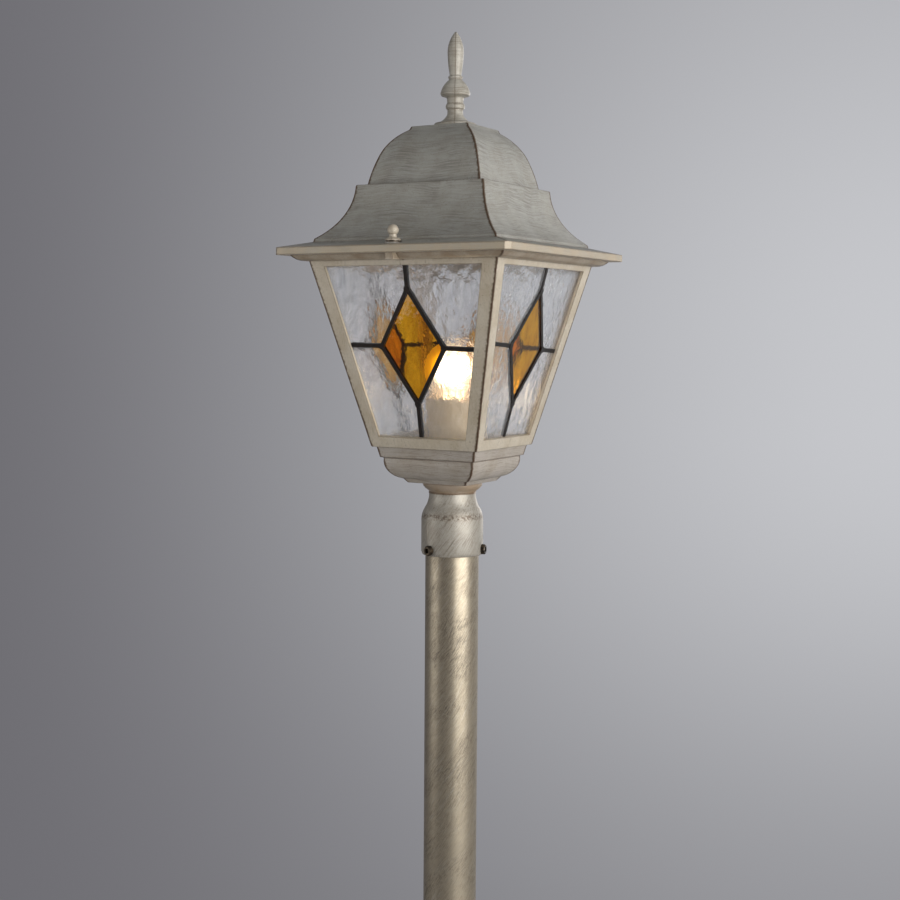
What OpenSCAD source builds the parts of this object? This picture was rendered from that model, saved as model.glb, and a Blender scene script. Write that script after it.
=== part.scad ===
// Square stained-glass lantern on a round post, in millimetres.
// The foot's flat face lies at z = 0 and the post's axis is the Z axis.
// The front of the lantern looks along -Y.

/* [Whole light] */
// Height from the foot's flat face to the tip of the finial
total_h = 1200; // [1000:5:1500]
// Side of the square eave
eave_w = 200; // [190:1:210]

/* [Roof] */
// Height of the eave's underside below the finial's tip
eave_drop = 173; // [171:1:178]
// Height of the eave's upright edge
fascia_h = 5.2; // [4:0.1:7]
// Half width at the foot of the concave skirt
skirt_foot = 76.8; // [75:0.2:79]
// Half width at the top of the skirt
skirt_head = 55.2; // [53:0.2:57]
// Height of the ledge between skirt and dome, above the eave's underside
ledge_z = 54; // [50:0.5:58]
// Half width at the foot of the dome
dome_foot = 48.6; // [46:0.2:50]
// Half width of the dome at its shoulder
dome_mid = 42.4; // [41:0.2:44]
// Height of the dome's shoulder, above the eave's underside
dome_mid_z = 76.6; // [74:0.2:78]
// Half width of the flat on top of the dome
dome_head = 24.2; // [22:0.2:25]
// Height of the flat on top, above the eave's underside
dome_z = 99.8; // [98.6:0.2:101]
// Wall of the roof casting
roof_wall = 2.6; // [2:0.1:3.5]

/* [Lantern frame] */
// Height of the four-sided cage
cage_h = 145; // [140:1:150]
// Half width of the cage at its foot
cage_foot = 46.4; // [45:0.2:48]
// Half width of the cage under the cornice
cage_head = 80.6; // [79:0.2:82]
// Half width of the cornice
cornice_w = 91; // [89:0.5:93]
// Height of the cornice
cornice_h = 4.1; // [3:0.1:6]
// Wall of the frame casting
cage_wall = 2.6; // [2:0.1:3]
// Half width of a window at its foot
window_foot = 38.2; // [36:0.2:39]
// Half width of a window at its head
window_head = 67.5; // [66:0.2:69]
// Width of the rail under a window, along the slope
rail_foot = 7.7; // [6:0.1:9]
// Width of the rail over a window, along the slope
rail_head = 4.6; // [4:0.1:6]

/* [Stained glass] */
// Thickness of the glass
glass_t = 2.4; // [2:0.1:3]
// Half width of the amber diamond
diamond_w = 27; // [24:0.5:30]
// Height of the diamond's side corners along the slope
diamond_mid = 78; // [75:0.2:83]
// Height of the diamond's top corner along the slope
diamond_top = 122.3; // [116:0.1:124]
// Height of the diamond's bottom corner along the slope
diamond_foot = 33.9; // [32:0.1:40]
// Width of the lead came's face
came_w = 3; // [2.4:0.1:4]
// Thickness of the lead came's leaf on each side of the glass
came_t = 0.7; // [0.5:0.1:1]

/* [Bowl and collar] */
// Radius of the round dish below the bowl
dish_r = 23.4; // [23.2:0.1:24]
// Height of the collar
collar_h = 48.5; // [47:0.5:52]
// Radius of the collar's straight part
collar_r = 24.4; // [23.8:0.1:26]
// Depth of the socket for the post
socket_h = 32.5; // [28:0.5:34]

/* [Post and foot] */
// Radius of the post
post_r = 21.1; // [20:0.1:21.5]
// Wall of the post
post_wall = 1.5; // [1:0.1:3]
// Radius of the foot
foot_r = 85; // [80:1:95]
// Height of the foot
foot_h = 76; // [70:1:90]
// Radius of the circle through the anchor holes
anchor_r = 70; // [66:0.5:74]
// Radius of an anchor hole
anchor_hole_r = 4.5; // [3:0.1:5]

/* [Lamp holder and bulb] */
// Radius of the ceramic lamp holder
holder_r = 22.3; // [20:0.1:23]
// Height of the holder's rim above the foot of the cage
holder_rim = 37.3; // [34:0.1:40]
// Radius of the bulb's globe
globe_r = 22.5; // [20:0.5:24]

/* [Hidden] */
$fn = 96;
SIDES = ["front", "right", "back", "left"];

CAST_WHITE = "#cdc6b8";
POST_GOLD = "#a39a86";
BRONZE = "#5b4a3a";
BRASS = "#b08d57";
STEEL = "#8a8a88";
LEAD = "#1f1b18";
CLEAR = [0.85, 0.88, 0.88, 0.4];
AMBER = [0.85, 0.5, 0.05, 0.7];
CERAMIC = "#ece6d8";

// heights of the sub-assemblies
eave_z = total_h - eave_drop;
cage_z = eave_z - cage_h;
seam_drop = 0.8;
frame_foot_z = cage_z - seam_drop;
flange_t = 2.2;
dish_foot = 37.8;
collar_top = cage_z - dish_foot;
collar_foot = collar_top - collar_h;
post_seat = 26;
post_top = collar_foot + socket_h;

// the rake of the cage walls and the places of what lies against them
cage_run = cage_h - cornice_h;
rake = atan((cage_head - cage_foot) / cage_run);
slope_h = cage_run / cos(rake);
wall_x = cage_wall / cos(rake);
pane_face = -cage_wall - 0.1;
pane_back = pane_face - glass_t;
pane_foot = 1.0;
pane_head = slope_h - 1.6;
pane_inset = (cage_wall + glass_t + 0.3) / cos(rake) + 0.15;
glass_gap = 1.2;
web_w = 1.0;
came_reach = 5;
came_gap = 0.2;
came_blend = 0.15;

// studs, screws and running gaps
stud_y = 90;
stud_r = 1.95;
stud_hole_r = 2.05;
stud_depth = 3.7;
stud_top = 14.8;
seat_z = 7.6;
nut_bore_r = 2.05;
washer_t = 1.0;
finial_stud_r = 2.9;
finial_stud_h = 25;
finial_nut_h = 5;
washer_r = 5;
socket_gap = 0.1;
set_screw_r = 2;
set_head_r = 4;
set_head_h = 3;
set_key_w = 4;
set_turn = 13.6;
set_screw_up = 4.5;
collar_screw_z = collar_foot + set_screw_up;
foot_neck_r = 27;
foot_screw_z = foot_h - 9;
nipple_r = 5;
nipple_bore_r = 3.5;
nipple_gap = 0.1;
nipple_foot = -49;
nipple_h = 26;
nipple_nut_h = 4;
collar_roof = 5;
boss_at = 34.5;

// the well in the bowl's floor and what is clamped on it by the nipple's nuts
well_z = -33.8;
strap_t = 1.3;
strap_z = well_z + nipple_nut_h + 0.2;
earth_at = [22, 14];
earth_foot = -19;
holder_foot = -19.5;
holder_floor = 6;
ear_foot = holder_foot - 1.1;
holder_screw_x = 17;

// points of an arc from p to q that rises by s to the left of the line between them
function bow(p, q, s, n = 8) =
    let (c = norm(q - p), d = (q - p) / c, l = [-d.y, d.x])
    let (r = (c * c / 4 + s * s) / (2 * abs(s)), half = asin(c / 2 / r))
    let (mid = (p + q) / 2 + l * (s - sign(s) * r))
    [for (i = [0:n]) mid + r * (sign(s) * cos(half * (2 * i / n - 1)) * l + sin(half * (2 * i / n - 1)) * d)];

// the same arc moved by w to the left of the line from p to q
function bow_inside(p, q, s, w, n = 8) =
    let (d = (q - p) / norm(q - p), l = [-d.y, d.x])
    bow(p + w * l, q + w * l, s, n);

function mirrored(points) = [for (i = [len(points) - 1:-1:0]) [-points[i].x, points[i].y]];

// a square body with mitred corners, from a list of half widths and heights
module square_cast(points, reach = 220) {
    outline = concat(points, mirrored(points));
    intersection() {
        rotate([90, 0, 0])
            translate([0, 0, -reach / 2])
                linear_extrude(reach) polygon(outline);
        rotate([90, 0, 90])
            translate([0, 0, -reach / 2])
                linear_extrude(reach) polygon(outline);
    }
}

// a turned body, from a list of radii and heights that ends on the axis
module turned(points) {
    rotate_extrude() polygon(points);
}

module tube(r_out, r_in, h) {
    difference() {
        cylinder(r = r_out, h = h);
        translate([0, 0, -1]) cylinder(r = r_in, h = h + 2);
    }
}

module hex_nut(flats, h, hole_r) {
    difference() {
        cylinder(r = flats / 2 / cos(30), h = h, $fn = 6);
        translate([0, 0, -1]) cylinder(r = hole_r, h = h + 2);
    }
}

// puts a shape drawn flat onto the outer face of one side of the cage: x across, y up the slope, z outwards
module on_side(k) {
    rotate([0, 0, 90 * k])
        translate([0, -cage_foot, cage_z])
            rotate([90 + rake, 0, 0]) children();
}

// pan-head screw with its head up and the underside of the head at z = 0
module pan_screw(shank_r, shank_h, head_r, head_h, slot_w) {
    difference() {
        union() {
            translate([0, 0, -shank_h]) cylinder(r = shank_r, h = shank_h + 0.5);
            turned(concat([[0, 0], [head_r, 0], [head_r, head_h * 0.35]],
                bow([head_r, head_h * 0.35], [head_r * 0.35, head_h], -head_r * 0.16, 4), [[0, head_h]]));
        }
        translate([-head_r - 1, -slot_w / 2, head_h * 0.55]) cube([2 * head_r + 2, slot_w, head_h]);
    }
}

// places a shape at each of the three set screws, its z axis pointing outwards from radius r
module at_set_screws(z, r) {
    for (a = [0, 120, 240])
        rotate([0, 0, set_turn + a])
            translate([r, 0, z])
                rotate([0, 90, 0]) children();
}

// set screws with round heads and hexagon sockets, their heads on a body of radius r_body
module set_screws(z, r_body) {
    edge = 0.7;
    color(BRONZE)
    at_set_screws(z, r_body)
        difference() {
            union() {
                translate([0, 0, post_r - r_body]) cylinder(r = set_screw_r, h = r_body - post_r + edge);
                turned([[0, 0], [set_head_r, 0], [set_head_r, set_head_h - edge],
                    [set_head_r - edge, set_head_h], [0, set_head_h]]);
            }
            translate([0, 0, set_head_h / 3]) cylinder(r = set_key_w / 2 / cos(30), h = set_head_h, $fn = 6);
        }
}

// Foot: a round stepped casting, hollow below, with a socket for the post
module foot() {
    rim_h = 5;
    step_r = 57;
    step_z = 9.5;
    flare_r = 50;
    flare_z = 20.5;
    ring_r = 31;
    ring_z = 50;
    rim_wall = 6;
    hollow_top = 40;
    seat_t = 4;
    cable_r = 17;
    color(CAST_WHITE)
    difference() {
        union() {
            difference() {
                turned(concat([[0, 0], [foot_r, 0], [foot_r, rim_h]],
                    bow([foot_r, rim_h], [foot_r - 3, rim_h + 3], -0.8, 4),
                    [[step_r, step_z]], bow([step_r, step_z + 2.5], [step_r - 2, flare_z - 1.5], -2.2, 6),
                    bow([flare_r, flare_z], [ring_r, ring_z], 7, 10),
                    bow([ring_r, ring_z + 2.5], [ring_r - 2, ring_z + 6], -1.2, 4),
                    [[foot_neck_r, ring_z + 7], [foot_neck_r, foot_h - 1.5],
                    [foot_neck_r - 1.5, foot_h], [0, foot_h]]));
                turned(concat([[0, -1], [foot_r - rim_wall, -1], [foot_r - rim_wall, rim_h - 0.5],
                    [step_r - 4, step_z - 4], [step_r - 6, flare_z - 4.5]],
                    bow([flare_r - 4, flare_z - 3], [ring_r - 1, hollow_top], 6, 8), [[0, hollow_top]]));
            }
            for (a = [45:90:315])
                rotate([0, 0, a])
                    translate([anchor_r, 0, 0]) cylinder(r = 2 * anchor_hole_r, h = rim_h + 2);
            translate([0, 0, post_seat - seat_t])
                cylinder(r = foot_neck_r - 1, h = hollow_top - post_seat + 10);
        }
        for (a = [45:90:315])
            rotate([0, 0, a])
                translate([anchor_r, 0, -1]) cylinder(r = anchor_hole_r, h = rim_h + 7);
        translate([0, 0, post_seat]) cylinder(r = post_r + socket_gap, h = foot_h);
        translate([0, 0, -1]) cylinder(r = cable_r, h = foot_h);
        at_set_screws(foot_screw_z, post_r - 2) cylinder(r = set_screw_r, h = 12);
    }
}

module foot_set_screws() {
    set_screws(foot_screw_z, foot_neck_r);
}

module post() {
    color(POST_GOLD)
    translate([0, 0, post_seat]) tube(post_r, post_r - post_wall, post_top - post_seat);
}

// Collar: a cup turned over the post's end, waisted below the dish
module collar() {
    straight_h = 27.6;
    shoulder = [22, 36];
    neck = [18.4, 46];
    stop_r = 18.6;
    color(CAST_WHITE)
    translate([0, 0, collar_foot])
    difference() {
        turned(concat([[0, 0], [collar_r - 0.9, 0], [collar_r, 2.4], [collar_r, straight_h]],
            bow([collar_r, straight_h + 0.2], shoulder, -0.5, 6), bow(shoulder + [-0.1, 0.2], neck, 0.6, 6),
            [[neck.x, collar_h], [0, collar_h]]));
        translate([0, 0, -1]) cylinder(r = post_r + socket_gap, h = socket_h + 1);
        turned([[0, socket_h - 1], [stop_r, socket_h - 1], [stop_r, socket_h],
            [stop_r - 4, collar_h - collar_roof], [0, collar_h - collar_roof]]);
        translate([0, 0, collar_h - 8]) cylinder(r = nipple_r + nipple_gap, h = 10);
        at_set_screws(set_screw_up, post_r - 2) cylinder(r = set_screw_r, h = 8);
    }
}

module collar_set_screws() {
    set_screws(collar_screw_z, collar_r);
}

// Bowl: a square moulding with a round dish below and a well in its floor for the nipple
module bowl() {
    floor_z = -23;
    boss_r = 4;
    boss_z = -20;
    pilot_r = 1.95;
    well_r = 15;
    ovolo_foot = [28.5, -25.9];
    ovolo_head = [39.2, -9.6];
    band_foot = [41.4, -8.8];
    ring_z = -28;
    wall = 2.8;
    color(CAST_WHITE)
    translate([0, 0, cage_z])
    difference() {
        union() {
            square_cast(concat([ovolo_foot + [-3, -3.3], ovolo_foot - [0.3, 0]],
                bow(ovolo_foot, ovolo_head, -3.7, 8), [band_foot, band_foot + [1.9, 8]]));
            turned([[0, -dish_foot], [18.9, -dish_foot], [18.3, -36.9], [18.8, -36], [21.3, -34.2],
                [dish_r - 0.4, ring_z - 4.2], [dish_r, ring_z - 3], [dish_r, ring_z], [0, ring_z]]);
        }
        difference() {
            square_cast(concat([[24, floor_z]], bow([26, floor_z], ovolo_head - [wall, 0.2], -3.4, 8),
                [band_foot + [-wall, 0.4], band_foot + [-1, 8.8]]));
            for (x = [-boss_at, boss_at], y = [-boss_at, boss_at])
                translate([x, y, boss_z]) cylinder(r = boss_r, h = -boss_z - seam_drop);
            translate([earth_at.x, earth_at.y, floor_z - 1])
                cylinder(r = boss_r, h = earth_foot - floor_z + 1);
        }
        translate([0, 0, well_z]) cylinder(r = well_r, h = 12);
        translate([0, 0, well_z - 8]) cylinder(r = nipple_r + nipple_gap, h = 12);
        for (x = [-boss_at, boss_at], y = [-boss_at, boss_at])
            translate([x, y, boss_z + 6]) cylinder(r = pilot_r, h = 16);
        translate([earth_at.x, earth_at.y, floor_z - 0.6]) cylinder(r = pilot_r, h = 8);
    }
}

module earth_screw() {
    color(BRASS)
    translate([earth_at.x, earth_at.y, cage_z + earth_foot])
        pan_screw(shank_r = 1.9, shank_h = 4.4, head_r = 3.5, head_h = 2.4, slot_w = 0.9);
}

// Nipple: the hollow threaded tube that joins bowl and collar and carries the wires
module nipple() {
    color(STEEL)
    translate([0, 0, cage_z + nipple_foot]) tube(nipple_r, nipple_bore_r, nipple_h);
}

module nipple_nuts() {
    color(STEEL)
    translate([0, 0, cage_z])
    for (z = [-dish_foot - collar_roof - nipple_nut_h - 0.1, well_z + 0.1, strap_z + strap_t + 0.1])
        translate([0, 0, z]) hex_nut(flats = 14, h = nipple_nut_h, hole_r = nipple_r + 0.05);
}

// Holder bracket: a bent strap, its foot on the nipple and its two ears under the lamp holder
module holder_bracket() {
    leg_x = 13;
    ear_x = 20.5;
    strap_w = 12;
    color(STEEL)
    translate([0, 0, cage_z])
    difference() {
        rotate([90, 0, 0])
            translate([0, 0, -strap_w / 2])
                linear_extrude(strap_w) polygon([
                    [-leg_x, strap_z], [leg_x, strap_z], [leg_x, ear_foot],
                    [ear_x, ear_foot], [ear_x, holder_foot],
                    [leg_x - strap_t, holder_foot], [leg_x - strap_t, strap_z + strap_t],
                    [-leg_x + strap_t, strap_z + strap_t], [-leg_x + strap_t, holder_foot],
                    [-ear_x, holder_foot],
                    [-ear_x, ear_foot], [-leg_x, ear_foot]]);
        translate([0, 0, strap_z - 1]) cylinder(r = nipple_r + nipple_gap, h = strap_t + 2);
        for (x = [-holder_screw_x, holder_screw_x])
            translate([x, 0, ear_foot - 1]) cylinder(r = 1.6, h = 5);
    }
}

module holder_screws() {
    color(STEEL)
    for (x = [-holder_screw_x, holder_screw_x])
        translate([x, 0, cage_z + ear_foot - 0.05])
            rotate([180, 0, 0])
                pan_screw(shank_r = 1.45, shank_h = 8, head_r = 2.8, head_h = 1.8, slot_w = 0.7);
}

// Lamp holder: ceramic, with a wide skirt round the screw shell
module lamp_holder() {
    base_r = 20.5;
    well_r = 14.6;
    color(CERAMIC)
    translate([0, 0, cage_z])
    difference() {
        turned(concat([[0, holder_foot], [base_r - 1, holder_foot], [base_r, holder_foot + 1], [base_r, -4],
            [holder_r, -2], [holder_r, holder_rim - 2]],
            bow([holder_r, holder_rim - 2], [holder_r - 2, holder_rim], -0.6, 4), [[0, holder_rim]]));
        translate([0, 0, holder_floor]) cylinder(r = well_r, h = holder_rim);
        turned([[0, holder_rim - 4], [well_r, holder_rim - 4], [well_r + 3, holder_rim + 0.1],
            [0, holder_rim + 0.1]]);
        translate([0, 0, holder_foot - 1]) cylinder(r = 3.2, h = 14);
        for (x = [-holder_screw_x, holder_screw_x])
            translate([x, 0, holder_foot - 1]) cylinder(r = 1.5, h = 9.5);
    }
}

module screw_shell() {
    color(BRASS)
    translate([0, 0, cage_z + holder_floor + 1.5]) tube(14.5, 13.4, 22);
}

module centre_contact() {
    color(BRASS)
    translate([0, 0, cage_z + holder_floor]) cylinder(r = 4.5, h = 2);
}

// Bulb: cap, neck and globe in one
module bulb() {
    tip_z = holder_floor + 2;
    tip_r = 4.5;
    cap_r = 13.2;
    cap_h = 24;
    globe_z = 59.5;
    neck = [12.4, tip_z + cap_h + 2];
    blend_a = 48;
    color([1, 0.95, 0.8])
    translate([0, 0, cage_z])
    turned(concat([[0, tip_z], [tip_r, tip_z], [tip_r + 0.5, tip_z + 2], [cap_r - 3.2, tip_z + 3.5],
        [cap_r, tip_z + 6], [cap_r, tip_z + cap_h]],
        bow(neck, [globe_r * cos(blend_a), globe_z - globe_r * sin(blend_a)], 0.5, 4),
        [for (a = [-blend_a + 6:6:84]) [globe_r * cos(a), globe_z + globe_r * sin(a)]],
        [[0, globe_z + globe_r]]));
}

module window_outline(grow = 0) {
    polygon([[-window_foot - grow, rail_foot - grow], [window_foot + grow, rail_foot - grow],
        [window_head + grow, slope_h - rail_head + grow], [-window_head - grow, slope_h - rail_head + grow]]);
}

// Lantern frame: cornice, four raking corner posts, bottom rail with a screw flange, and two stud lugs
module lantern_frame() {
    flange_hole = 30;
    lug = [6.4, 17, 5];
    lug_y = 79;
    color(CAST_WHITE)
    difference() {
        union() {
            translate([0, 0, cage_z])
                square_cast(concat([[cage_foot - 0.6, -seam_drop], [cage_foot, 0], [cage_head, cage_run]],
                    bow([cage_head, cage_run], [cornice_w, cage_h], -1.7, 5)));
            for (a = [0, 180])
                rotate([0, 0, a]) translate([-lug.x / 2, lug_y, eave_z - lug.z]) cube(lug);
        }
        difference() {
            translate([0, 0, cage_z])
                square_cast([[cage_foot - wall_x, -3], [cage_foot - wall_x, 0],
                    [cage_head - wall_x, cage_run], [cage_head - wall_x, cage_h + 1]]);
            translate([-60, -60, frame_foot_z - 1]) cube([120, 120, flange_t + 1]);
        }
        translate([-flange_hole, -flange_hole, frame_foot_z - 1]) cube([2 * flange_hole, 2 * flange_hole, 8]);
        for (k = [0:3])
            on_side(k) translate([0, 0, -1.5 * cage_wall]) linear_extrude(3 * cage_wall) window_outline();
        for (y = [-stud_y, stud_y])
            translate([0, y, eave_z - stud_depth - 0.3]) cylinder(r = stud_hole_r, h = 10);
        for (x = [-boss_at, boss_at], y = [-boss_at, boss_at])
            translate([x, y, frame_foot_z - 1]) cylinder(r = 2.2, h = 6);
    }
}

module frame_screws() {
    color(STEEL)
    for (x = [-boss_at, boss_at], y = [-boss_at, boss_at])
        translate([x, y, frame_foot_z + flange_t])
            pan_screw(shank_r = 1.9, shank_h = 13, head_r = 3.4, head_h = 2.2, slot_w = 0.9);
}

module roof_studs() {
    color(BRASS)
    for (y = [-stud_y, stud_y])
        translate([0, y, eave_z - stud_depth]) cylinder(r = stud_r, h = stud_depth + stud_top);
}

// Spring clips: each hooks over the top edge of a pane, out of sight behind the upper rail
module pane_clips() {
    clip_w = 8;
    leg_foot = pane_head - 2.8;
    color(STEEL)
    for (k = [0:3], x = [-44, 44])
        on_side(k)
            translate([x - clip_w / 2, 0, 0])
                rotate([90, 0, 90])
                    linear_extrude(clip_w) polygon([
                        [leg_foot, pane_back - 0.1], [pane_head + 0.1, pane_back - 0.1],
                        [pane_head + 0.1, pane_face], [pane_head + 0.8, pane_face],
                        [pane_head + 0.8, pane_back - 0.8], [leg_foot, pane_back - 0.8]]);
}

// how each side's hand-made lattice stands in its window: its lean clockwise and its shift to the right
LATTICE_LEAN = [1.5, 3.5, -1.8, 0.8];
LATTICE_SHIFT = [0.3, 2.9, -1, 0.6];

DIAMOND = [[0, diamond_top], [diamond_w, diamond_mid], [0, diamond_foot], [-diamond_w, diamond_mid]];

// the lines of the cames: the diamond's four edges and the arms from its corners
function came_lines(x_end) = [
    [DIAMOND[0], DIAMOND[1]], [DIAMOND[1], DIAMOND[2]], [DIAMOND[2], DIAMOND[3]], [DIAMOND[3], DIAMOND[0]],
    [DIAMOND[0], [0, slope_h + came_reach]], [DIAMOND[2], [0, -came_reach]],
    [DIAMOND[1], [x_end, diamond_mid]], [DIAMOND[3], [-x_end, diamond_mid]]];

module came_strips(w) {
    for (ln = came_lines(cage_head)) {
        d = ln[1] - ln[0];
        translate(ln[0])
            rotate(atan2(d.y, d.x))
                translate([0, -w / 2]) square([norm(d), w]);
    }
    for (p = DIAMOND)
        translate(p) circle(r = w / 2 + came_blend);
}

module leaning(k) {
    translate([LATTICE_SHIFT[k], diamond_mid])
        rotate(-LATTICE_LEAN[k])
            translate([0, -diamond_mid]) children();
}

module pane_outline() {
    foot_x = cage_foot + pane_foot * sin(rake) - pane_inset;
    head_x = cage_foot + pane_head * sin(rake) - pane_inset;
    polygon([[-foot_x, pane_foot], [foot_x, pane_foot], [head_x, pane_head], [-head_x, pane_head]]);
}

// Cames of one side: a lattice of H section, its leaves on both faces and its web between the glasses
module side_cames(k) {
    blob_r = 2.5;
    web_h = glass_t + came_t;
    color(LEAD)
    on_side(k) {
        translate([0, 0, pane_back - came_t / 2])
            linear_extrude(web_h) intersection() {
                leaning(k) came_strips(web_w);
                window_outline(-2 * came_gap);
            }
        translate([0, 0, pane_face])
            linear_extrude(came_t) intersection() {
                leaning(k) came_strips(came_w);
                window_outline(-came_gap);
            }
        translate([0, 0, pane_back - came_t])
            linear_extrude(came_t) intersection() {
                leaning(k) came_strips(came_w);
                window_outline(-came_gap);
            }
        leaning(k)
            for (p = DIAMOND)
                translate([p.x, p.y, pane_face + came_t / 2]) cylinder(r = blob_r, h = came_t);
    }
}

module side_amber(k) {
    color(AMBER)
    on_side(k)
        translate([0, 0, pane_back])
            linear_extrude(glass_t) leaning(k) difference() {
                polygon(DIAMOND);
                came_strips(glass_gap);
            }
}

// One clear pane of one side: across is -1 for the left and 1 for the right, up is -1 for the lower and 1 for
// the upper
module side_clear(k, across, up) {
    quarter = [90, 160];
    quarter_at = [across > 0 ? 0 : -quarter.x, up > 0 ? diamond_mid : diamond_mid - quarter.y];
    color(CLEAR)
    on_side(k)
        translate([0, 0, pane_back])
            linear_extrude(glass_t) difference() {
                intersection() {
                    pane_outline();
                    leaning(k) translate(quarter_at) square(quarter);
                }
                leaning(k) {
                    polygon(DIAMOND);
                    came_strips(glass_gap);
                }
            }
}

// the roof's outlines, half widths and heights above the eave's underside
SKIRT_FOOT = [skirt_foot, 13.4];
SKIRT_HEAD = [skirt_head, ledge_z - 1];
SHOULDER = [dome_mid, dome_mid_z];
SHOULDER_TILT = 20;
SLAB_FOOT = [dome_head + 1.6, dome_z - 2.8];

ROOF_OUTSIDE = concat(
    [[eave_w / 2, 0], [eave_w / 2, fascia_h], [skirt_foot + 1.6, 10.2], [skirt_foot + 1, 12.6]],
    bow(SKIRT_FOOT, SKIRT_HEAD, 5, 12),
    [[skirt_head - 0.5, ledge_z], [dome_foot + 0.2, ledge_z + 0.5]],
    bow([dome_foot, ledge_z + 0.9], SHOULDER, -0.5, 6),
    bow(SHOULDER + [-0.4, 1], SLAB_FOOT, -2, 9),
    [[dome_head + 0.5, dome_z - 0.4], [dome_head, dome_z]]);

SHOULDER_INSIDE = SHOULDER - roof_wall * [cos(SHOULDER_TILT), sin(SHOULDER_TILT)];
SLAB_INSIDE = SLAB_FOOT - roof_wall * [0.54, 0.84];

ROOF_INSIDE = concat(
    [[skirt_foot - roof_wall, -1], [skirt_foot - roof_wall, 10]],
    bow_inside(SKIRT_FOOT, SKIRT_HEAD, 5, roof_wall, 12),
    [[dome_foot - roof_wall, ledge_z - roof_wall]],
    bow([dome_foot - roof_wall, ledge_z + 0.9], SHOULDER_INSIDE, -0.5, 6),
    bow(SHOULDER_INSIDE + [-0.4, 1], SLAB_INSIDE, -1.9, 9),
    [[dome_head - roof_wall - 1, dome_z - roof_wall - 0.4]]);

// Roof: a hollow casting with a dome, a ledge, a concave skirt and a flat eave with clipped corners
module roof() {
    clip = 3.7;
    clip_w = (eave_w - clip) * sqrt(2);
    spot_r = 6.4;
    color(CAST_WHITE)
    translate([0, 0, eave_z])
    difference() {
        intersection() {
            union() {
                square_cast(ROOF_OUTSIDE);
                for (y = [-stud_y, stud_y])
                    translate([0, y, 1]) cylinder(r = spot_r, h = seat_z - 1);
            }
            rotate([0, 0, 45]) translate([-clip_w / 2, -clip_w / 2, -1]) cube([clip_w, clip_w, 120]);
        }
        square_cast(ROOF_INSIDE);
        for (y = [-stud_y, stud_y])
            translate([0, y, -1]) {
                cylinder(r = stud_hole_r + 0.3, h = seat_z + 4);
                translate([0, 0, seat_z + 1]) cylinder(r = spot_r, h = 4);
            }
        translate([0, 0, dome_z - 6]) cylinder(r = finial_stud_r + 0.3, h = 10);
    }
}

// the finial's outline, radii and heights above the dome
FINIAL_OUTSIDE = concat(
    [[0, 0], [16.3, 0], [16.3, 2.8]], bow([15.9, 3.4], [6.1, 10.6], 1.7, 7),
    [[6.1, 14]], bow([7, 14.6], [7, 18.1], -0.45, 3),
    [[6.3, 18.6], [6.3, 21.7], [6.9, 23.2], [8, 23.6], [10.9, 24.6], [11.6, 26.2]],
    bow([11.5, 26.6], [5.2, 36.5], -1, 8),
    [[4.9, 36.9]], bow([5.2, 37.6], [5.2, 39.4], -0.5, 3),
    [[4.6, 39.8]], bow([4.45, 40.3], [6.05, 53.2], -0.25, 5));

module finial() {
    tip = eave_drop - dome_z;
    color(CAST_WHITE)
    translate([0, 0, eave_z + dome_z])
    difference() {
        turned(concat(FINIAL_OUTSIDE, bow([6.05, 54.2], [0.8, tip - 0.4], -2, 9), [[0, tip]]));
        translate([0, 0, -1]) cylinder(r = finial_stud_r + 0.05, h = 17);
    }
}

module finial_stud() {
    color(STEEL)
    translate([0, 0, eave_z + dome_z - finial_stud_h + 15]) cylinder(r = finial_stud_r, h = finial_stud_h);
}

module finial_nut() {
    color(STEEL)
    translate([0, 0, eave_z + dome_z - roof_wall - finial_nut_h - 0.6])
        hex_nut(flats = 10, h = finial_nut_h, hole_r = finial_stud_r + 0.05);
}

module stud_washer(y) {
    color(BRONZE)
    translate([0, y, eave_z + seat_z]) tube(washer_r, stud_hole_r + 0.3, washer_t);
}

// Ball nut: flange, neck and ball round a blind threaded hole
module ball_nut(y) {
    ball_r = 4.15;
    ball_z = 16.2;
    neck_r = 2.8;
    flange_r = 5.75;
    z0 = seat_z + washer_t;
    color(CAST_WHITE)
    translate([0, y, eave_z])
    difference() {
        turned(concat([[0, z0], [flange_r, z0], [flange_r, z0 + 1], [flange_r - 1, z0 + 1.8],
            [neck_r + 0.3, z0 + 2.3], [neck_r, z0 + 3], [neck_r, ball_z - 2.9]],
            [for (a = [-40:10:80]) [ball_r * cos(a), ball_z + ball_r * sin(a)]], [[0, ball_z + ball_r]]));
        translate([0, 0, z0 - 1]) cylinder(r = nut_bore_r, h = ball_z - z0 + 1.6);
    }
}

foot();
foot_set_screws();
post();
collar();
collar_set_screws();
bowl();
nipple();
nipple_nuts();
holder_bracket();
holder_screws();
lamp_holder();
screw_shell();
centre_contact();
bulb();
earth_screw();
lantern_frame();
frame_screws();
roof_studs();
pane_clips();
for (k = [0:3]) {
    side_cames(k);
    side_amber(k);
    side_clear(k, -1, 1);
    side_clear(k, 1, 1);
    side_clear(k, -1, -1);
    side_clear(k, 1, -1);
}
roof();
finial();
finial_stud();
finial_nut();
stud_washer(-stud_y);  // front_washer
ball_nut(-stud_y);  // front_ball_nut
stud_washer(stud_y);  // back_washer
ball_nut(stud_y);  // back_ball_nut
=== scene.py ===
"""Looks of a square stained-glass park light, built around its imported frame."""

import logging
import math
from collections.abc import Sequence
from dataclasses import dataclass, field
from enum import Enum
from typing import NamedTuple

import bmesh
import bpy
from mathutils import Matrix, Vector, noise


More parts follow.
